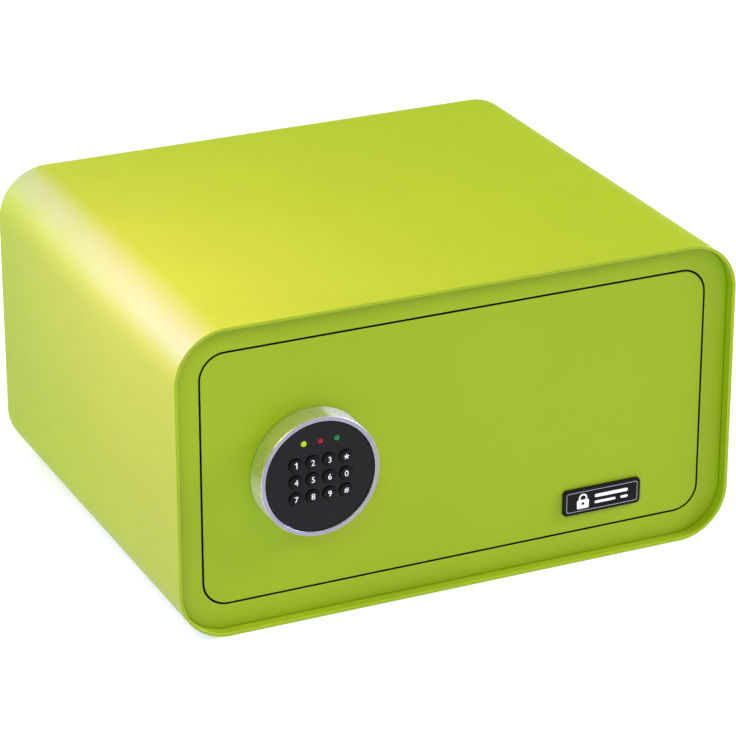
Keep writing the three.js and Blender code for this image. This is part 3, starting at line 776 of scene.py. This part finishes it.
def lid_arrow():
    """A raised arrow on the battery lid, which points along +X."""
    low, high = box_mm("battery_lid")
    x, y, z = high[0] - 14, high[1], (low[2] + high[2]) / 2
    head, shaft, head_half, shaft_half = 8, 10, 7, 2.4
    corners = [
        (x + head, z),
        (x, z + head_half),
        (x, z + shaft_half),
        (x - shaft, z + shaft_half),
        (x - shaft, z - shaft_half),
        (x, z - shaft_half),
        (x, z - head_half),
    ]
    soft = eased(corners, 0.8, 3)
    centre_x = x - 1

    def outline(inset):
        across, up = 1 - inset / 9, 1 - inset / 5
        return [(centre_x + (a - centre_x) * across, z + (b - z) * up) for a, b in soft]

    bm = slab(outline, [], y + 0.02, y + 0.5, front=0.02, back=0.25, arc=2)
    finish_mesh("lid_arrow", bm, cover_black, "battery_lid", angle=50)


mount_screws()
cover_screws()
stile_welds()
lid_arrow()


# ---- Badge ----
PRINT_FRONT = badge_low[1] - 0.06
PRINT_BACK = badge_low[1] + 0.05


def badge_print(name, outline, holes, material):
    """A thin raised print on the badge."""
    bm = slab(outline, holes, PRINT_FRONT, PRINT_BACK, front=0.02, back=0.02, arc=1)
    finish_mesh(name, bm, material, "door")


def badge():
    """A black plate with a silver border, and in white a padlock and three bars in place of wording."""
    bm = slab(round_box(badge_low, badge_high, 3, 8), [], badge_low[1], badge_high[1], front=0.5, back=0.1)
    finish_mesh("badge", bm, badge_black, "door", stands_for=["badge_plate"], slot="black_plastic")

    x, _, z = middle("badge_plate")
    margin, line_width = 2.3, 0.4
    half_w, half_h = (badge_high[0] - badge_low[0]) / 2, (badge_high[2] - badge_low[2]) / 2
    border_low = [x - half_w + margin, 0, z - half_h + margin]
    border_high = [x + half_w - margin, 0, z + half_h - margin]
    border = round_box(border_low, border_high, 1.6, 6)
    badge_print("badge_border", border, [lambda inset: border(line_width - inset)], print_silver)

    padlock_x = x - 15.5
    marks = [  # middle, width, height and corner radius, the padlock's body first
        (padlock_x, z - 2.2, 9.6, 7.0, 1.2),
        (x + 7.5, z + 2.4, 27.0, 2.6, 1.3),
        (x + 2.5, z - 2.6, 17.0, 2.0, 1.0),
        (x + 18.0, z - 2.6, 6.0, 2.0, 1.0),
    ]
    for number, (cx, cz, w, h, r) in enumerate(marks, 1):
        low, high = [cx - w / 2, 0, cz - h / 2], [cx + w / 2, 0, cz + h / 2]
        keyhole = [hole(1.15, cx, cz + 0.3, 16)] if number == 1 else []
        badge_print(f"badge_mark_{number}", round_box(low, high, r, 6), keyhole, print_white)
    padlock_shackle(padlock_x, z + 1.3, outer_r=3.4, inner_r=2.1, leg=1.2)


def padlock_shackle(x, z, outer_r, inner_r, leg):
    """A half ring on two legs that stand at z."""
    sweep = [math.radians(180 * k / 16) for k in range(17)]

    def arch(r):
        over = [(x + r * math.cos(t), z + leg + r * math.sin(t)) for t in sweep]
        return [(x + r, z), *over, (x - r, z)]

    bm = bmesh.new()
    front_outer, front_inner = [upright_loop(bm, arch(r), PRINT_FRONT) for r in (outer_r, inner_r)]
    back_outer, back_inner = [upright_loop(bm, arch(r), PRINT_BACK) for r in (outer_r, inner_r)]
    around = [front_outer, front_inner, back_inner, back_outer]
    for i in range(len(front_outer) - 1):
        for a, b in zip(around, around[1:] + around[:1]):
            bm.faces.new((a[i], a[i + 1], b[i + 1], b[i]))
    for i in (0, -1):
        bm.faces.new([line[i] for line in around])
    finish_mesh("badge_shackle", bm, print_white, "door")


badge()


# ---- Keypad ----
def keypad_ring():
    """The housing's ring: a slightly tapered wall, a flat satin rim, and a seat for the face inside it."""
    front, back = ring_low[1], ring_high[1]
    base_r = (ring_high[0] - ring_low[0]) / 2
    bore_r = 42.6
    seat_r = FACE_R + FIT
    corners = [  # radius, y and rounding
        (bore_r, back, 0.2),
        (base_r, back, 0.9),
        (base_r - 0.1, back - 2.2, 1.6),
        (44.5, front + 1.1, 0.7),
        (44.1, front, 0.35),
        (seat_r, front, 0.25),
        (seat_r, face_high[1] + 1, 0.3),
        (bore_r, face_high[1] + 2.5, 0.3),
    ]
    profile = eased([(r, y) for r, y, _ in corners], [rounding for _, _, rounding in corners], 5)
    bm = lathe(profile, KEYPAD_X, KEYPAD_Z, 160)
    how = {"stands_for": ["keypad_ring"], "slot": "chrome", "angle": 50}
    obj = finish_mesh("keypad_bezel", bm, silvered, "keypad", **how)

    def on_rim(x, y, z, facing):
        r = math.hypot(x - KEYPAD_X, z - KEYPAD_Z)
        return facing > 0.92 and y < front + 0.25 and r > seat_r + 0.1

    paint_faces(obj, satin_rim, on_rim)


def keypad_face():
    """The black face, with a hole for each key and each light."""
    holes = []
    for names, r, steps in ((KEYS, KEY_R + FIT, 36), (LEDS, LED_R + LED_FIT, 24)):
        for name in names:
            x, _, z = middle(name)
            holes.append(hole(r, x, z, steps))
    outline = disc(FACE_R, KEYPAD_X, KEYPAD_Z, 128)
    bm = slab(outline, holes, face_low[1], face_high[1], front=0.9, back=0.3, hole_front=0.35)
    how = {"stands_for": ["keypad_face"], "slot": "black_plastic"}
    finish_mesh("keypad_fascia", bm, face_black, "keypad", **how)


def key_crown(front, r):
    """How far back the crowned top of a key lies, r from its middle."""
    return front + KEY_CROWN * (r / KEY_R) ** 2


def key(name, label):
    """A crowned key on its flange, and its figure, which stands a little proud of it."""
    low, high = box_mm(name)
    x, _, z = middle(name)
    front, back = low[1], high[1]
    flange_r, flange_front = KEY_R + 1.1, back - 1.3
    radii = [KEY_R * k / 8 for k in range(8)]
    crown = [(r, key_crown(front, r)) for r in radii]
    edge = (KEY_R, key_crown(front, KEY_R))
    side = eased([crown[-1], edge, (KEY_R, flange_front)], 0.8, 5, closed=False)[1:]
    flange = [(flange_r, flange_front), (flange_r, back), (0, back)]
    bm = lathe(crown + side + flange, x, z, 40, closed=False)
    how = {"stands_for": [name], "slot": "black_plastic", "angle": 40}
    finish_mesh(name.replace("key_", "button_"), bm, key_black, name, **how)

    digit_front, digit_back = front - 0.07, front + 0.3
    mesh = glyph(label)
    for vertex in mesh.vertices:
        u, v, w = vertex.co
        vertex.co = ((x + u) * MM, (digit_front if w > 0 else digit_back) * MM, (z + v) * MM)
    place_mesh(name.replace("key_", "digit_"), mesh, print_white, name, weighted=False)


ONE = [(0.1, -2.3), (0.85, -2.3), (0.85, 2.35), (0.3, 2.35), (-1.0, 1.45), (-1.0, 0.75), (0.1, 1.35)]


def star_outline(arms=5, reach=1.9, width=0.72):
    """A star of straight arms, the first of them upright."""
    points = []
    for k in range(arms):
        a = math.radians(90 + 360 * k / arms)
        along, across = (math.cos(a), math.sin(a)), (-math.sin(a), math.cos(a))
        for side in (-1, 1):
            points.append(tuple(reach * p + side * width / 2 * q for p, q in zip(along, across)))
        notch_r = width / 2 / math.sin(math.pi / arms)
        notch = a + math.pi / arms
        points.append((notch_r * math.cos(notch), notch_r * math.sin(notch)))
    return points


def glyph(label):
    """A mesh of a thin upright character in millimetres, centred on its own middle, facing +Z."""
    return drawn_glyph(ONE if label == "1" else star_outline()) if label in "1*" else typed_glyph(label)


def drawn_glyph(points):
    """A character from its outline."""
    bm = bmesh.new()
    loops = []
    for w in (-HALF_FIGURE, HALF_FIGURE):
        loops.append([bm.verts.new((u, v, w)) for u, v in points])
        bm.faces.new(loops[-1])
    bridge(bm, *loops)
    bmesh.ops.recalc_face_normals(bm, faces=bm.faces)
    mesh = bpy.data.meshes.new("glyph")
    bm.to_mesh(mesh)
    bm.free()
    return mesh


def typed_glyph(label):
    """A character of Blender's own font."""
    curve = bpy.data.curves.new("glyph", "FONT")
    curve.body = label
    curve.size = HASH_SIZE if label == "#" else FIGURE_SIZE
    curve.extrude = HALF_FIGURE
    curve.resolution_u = 5
    obj = bpy.data.objects.new("glyph", curve)
    bpy.context.scene.collection.objects.link(obj)
    bpy.context.view_layer.update()
    graph = bpy.context.evaluated_depsgraph_get()
    mesh = bpy.data.meshes.new_from_object(obj.evaluated_get(graph))
    bpy.data.objects.remove(obj)
    bpy.data.curves.remove(curve)
    xs = [vertex.co.x for vertex in mesh.vertices]
    ys = [vertex.co.y for vertex in mesh.vertices]
    middle_x, middle_y = (min(xs) + max(xs)) / 2, (min(ys) + max(ys)) / 2
    for vertex in mesh.vertices:
        vertex.co.x -= middle_x
        vertex.co.y -= middle_y
    return mesh


def led_lens(name, color, glow):
    """A light's domed lens."""
    low, high = box_mm(name)
    x, _, z = middle(name)
    rise = 0.9
    turns = [math.radians(a) for a in range(0, 91, 15)]
    dome = [(LED_R * math.sin(t), low[1] + rise * (1 - math.cos(t))) for t in turns]
    bm = lathe([*dome, (LED_R, high[1]), (0, high[1])], x, z, 32, closed=False)
    how = {"stands_for": [name], "slot": name}
    finish_mesh(name.replace("led_", "lens_"), bm, lens(name, color, glow), "keypad", **how)


keypad_ring()
keypad_face()
for name, label in KEYS.items():
    key(name, label)
for name, (color, glow) in LEDS.items():
    led_lens(name, color, glow)


# ---- Floor, lights and camera, in metres ----
FLOOR_REACH = 6
FLOOR_DROP = 0.0002  # keeps the floor clear of the shell's underside
SAFE_MIDDLE = (0, 0, 0.12)

# Place, watts and tint. The tints give the painted faces the colours that they have in the photograph.
SOFTBOX_SIZE = 1.1
SOFTBOXES = {
    "softbox_back": ((-0.5, 2.2, 0.9), 46, (0.3, 0.25, 1.0)),
    "softbox_back_left": ((-1.4, 2.0, 0.7), 22, (0.78, 1.0, 0.4)),
    "softbox_front_left": ((-1.2, -1.45, 1.6), 17, (0.38, 1.0, 0.1)),
    "softbox_front": ((0.5, -1.6, 1.9), 12, (1.0, 0.5, 0.8)),
    "softbox_right": ((2.1, -0.5, 1.2), 92, (0.61, 0.54, 1.0)),
    "softbox_top": ((-0.24, 1.1, 2.25), 18, (0.92, 1.0, 0.1)),
}
# Two small lamps near the rounded edge at the left make the pale highlight along it.
LAMP_SIZE = 0.3
LEFT_EDGE = (-0.2, -0.14, 0.21)


def area_light(name, place, aim, size, power, color, spread=180):
    """A square lamp that shines from place toward aim, over spread degrees."""
    light = bpy.data.lights.new(name, "AREA")
    light.energy = power
    light.color = color
    light.size = size
    light.spread = math.radians(spread)
    obj = bpy.data.objects.new(name, light)
    obj.location = place
    obj.rotation_euler = (Vector(aim) - Vector(place)).to_track_quat("-Z", "Y").to_euler()
    bpy.context.scene.collection.objects.link(obj)


def studio_floor():
    """A plain pale floor, which glows a little so that it stays white away from the lamps."""
    light = {"Emission_Color": (0.93, 0.96, 1.0, 1), "Emission_Strength": 0.62}
    white = new_material("floor_white", (0.5, 0.5, 0.5), 0.8, Specular_IOR_Level=0.1, **light)
    mesh = bpy.data.meshes.new("floor")
    s = FLOOR_REACH
    mesh.from_pydata([(-s, -s, 0), (s, -s, 0), (s, s, 0), (-s, s, 0)], [], [(0, 1, 2, 3)])
    mesh.materials.append(white)
    floor = bpy.data.objects.new("floor", mesh)
    floor.location.z = -FLOOR_DROP
    bpy.context.scene.collection.objects.link(floor)


def studio_lights():
    """A dim white surround, the softboxes and the two small lamps."""
    world = bpy.data.worlds.new("studio")
    world.use_nodes = True
    background = world.node_tree.nodes["Background"]
    background.inputs["Color"].default_value = (1, 1, 1, 1)
    background.inputs["Strength"].default_value = 0.2
    bpy.context.scene.world = world
    for name, (place, power, tint) in SOFTBOXES.items():
        area_light(name, place, SAFE_MIDDLE, SOFTBOX_SIZE, power, tint)
    area_light("lamp_above_corner", (-0.4, -0.1, 0.5), SAFE_MIDDLE, LAMP_SIZE, 2.26, (1.0, 0.42, 0.5))
    area_light("lamp_beside_corner", (-0.5, 0.13, 0.42), LEFT_EDGE, LAMP_SIZE, 1.3, (0.08, 0.02, 1.0), 60)
    bpy.context.scene.view_settings.view_transform = "Standard"


# The camera was solved from the straight edges of the shell and the door in the photograph.
AZIMUTH = math.radians(-24.826)
ELEVATION = math.radians(23.322)
DISTANCE = 2.5703
TARGET = Vector((0.00769, 0.005, 0.09915))
SENSOR_MM = 36
LENS_MM = 169.77


def photo_camera():
    """A camera that looks at TARGET from DISTANCE away."""
    data = bpy.data.cameras.new("camera")
    data.sensor_width = SENSOR_MM
    data.lens = LENS_MM
    level = math.cos(ELEVATION)
    away = Vector((math.sin(AZIMUTH) * level, -math.cos(AZIMUTH) * level, math.sin(ELEVATION)))
    camera = bpy.data.objects.new("camera", data)
    camera.location = TARGET + away * DISTANCE
    camera.rotation_euler = (-away).to_track_quat("-Z", "Y").to_euler()
    bpy.context.scene.collection.objects.link(camera)
    bpy.context.scene.camera = camera


studio_floor()
studio_lights()
photo_camera()
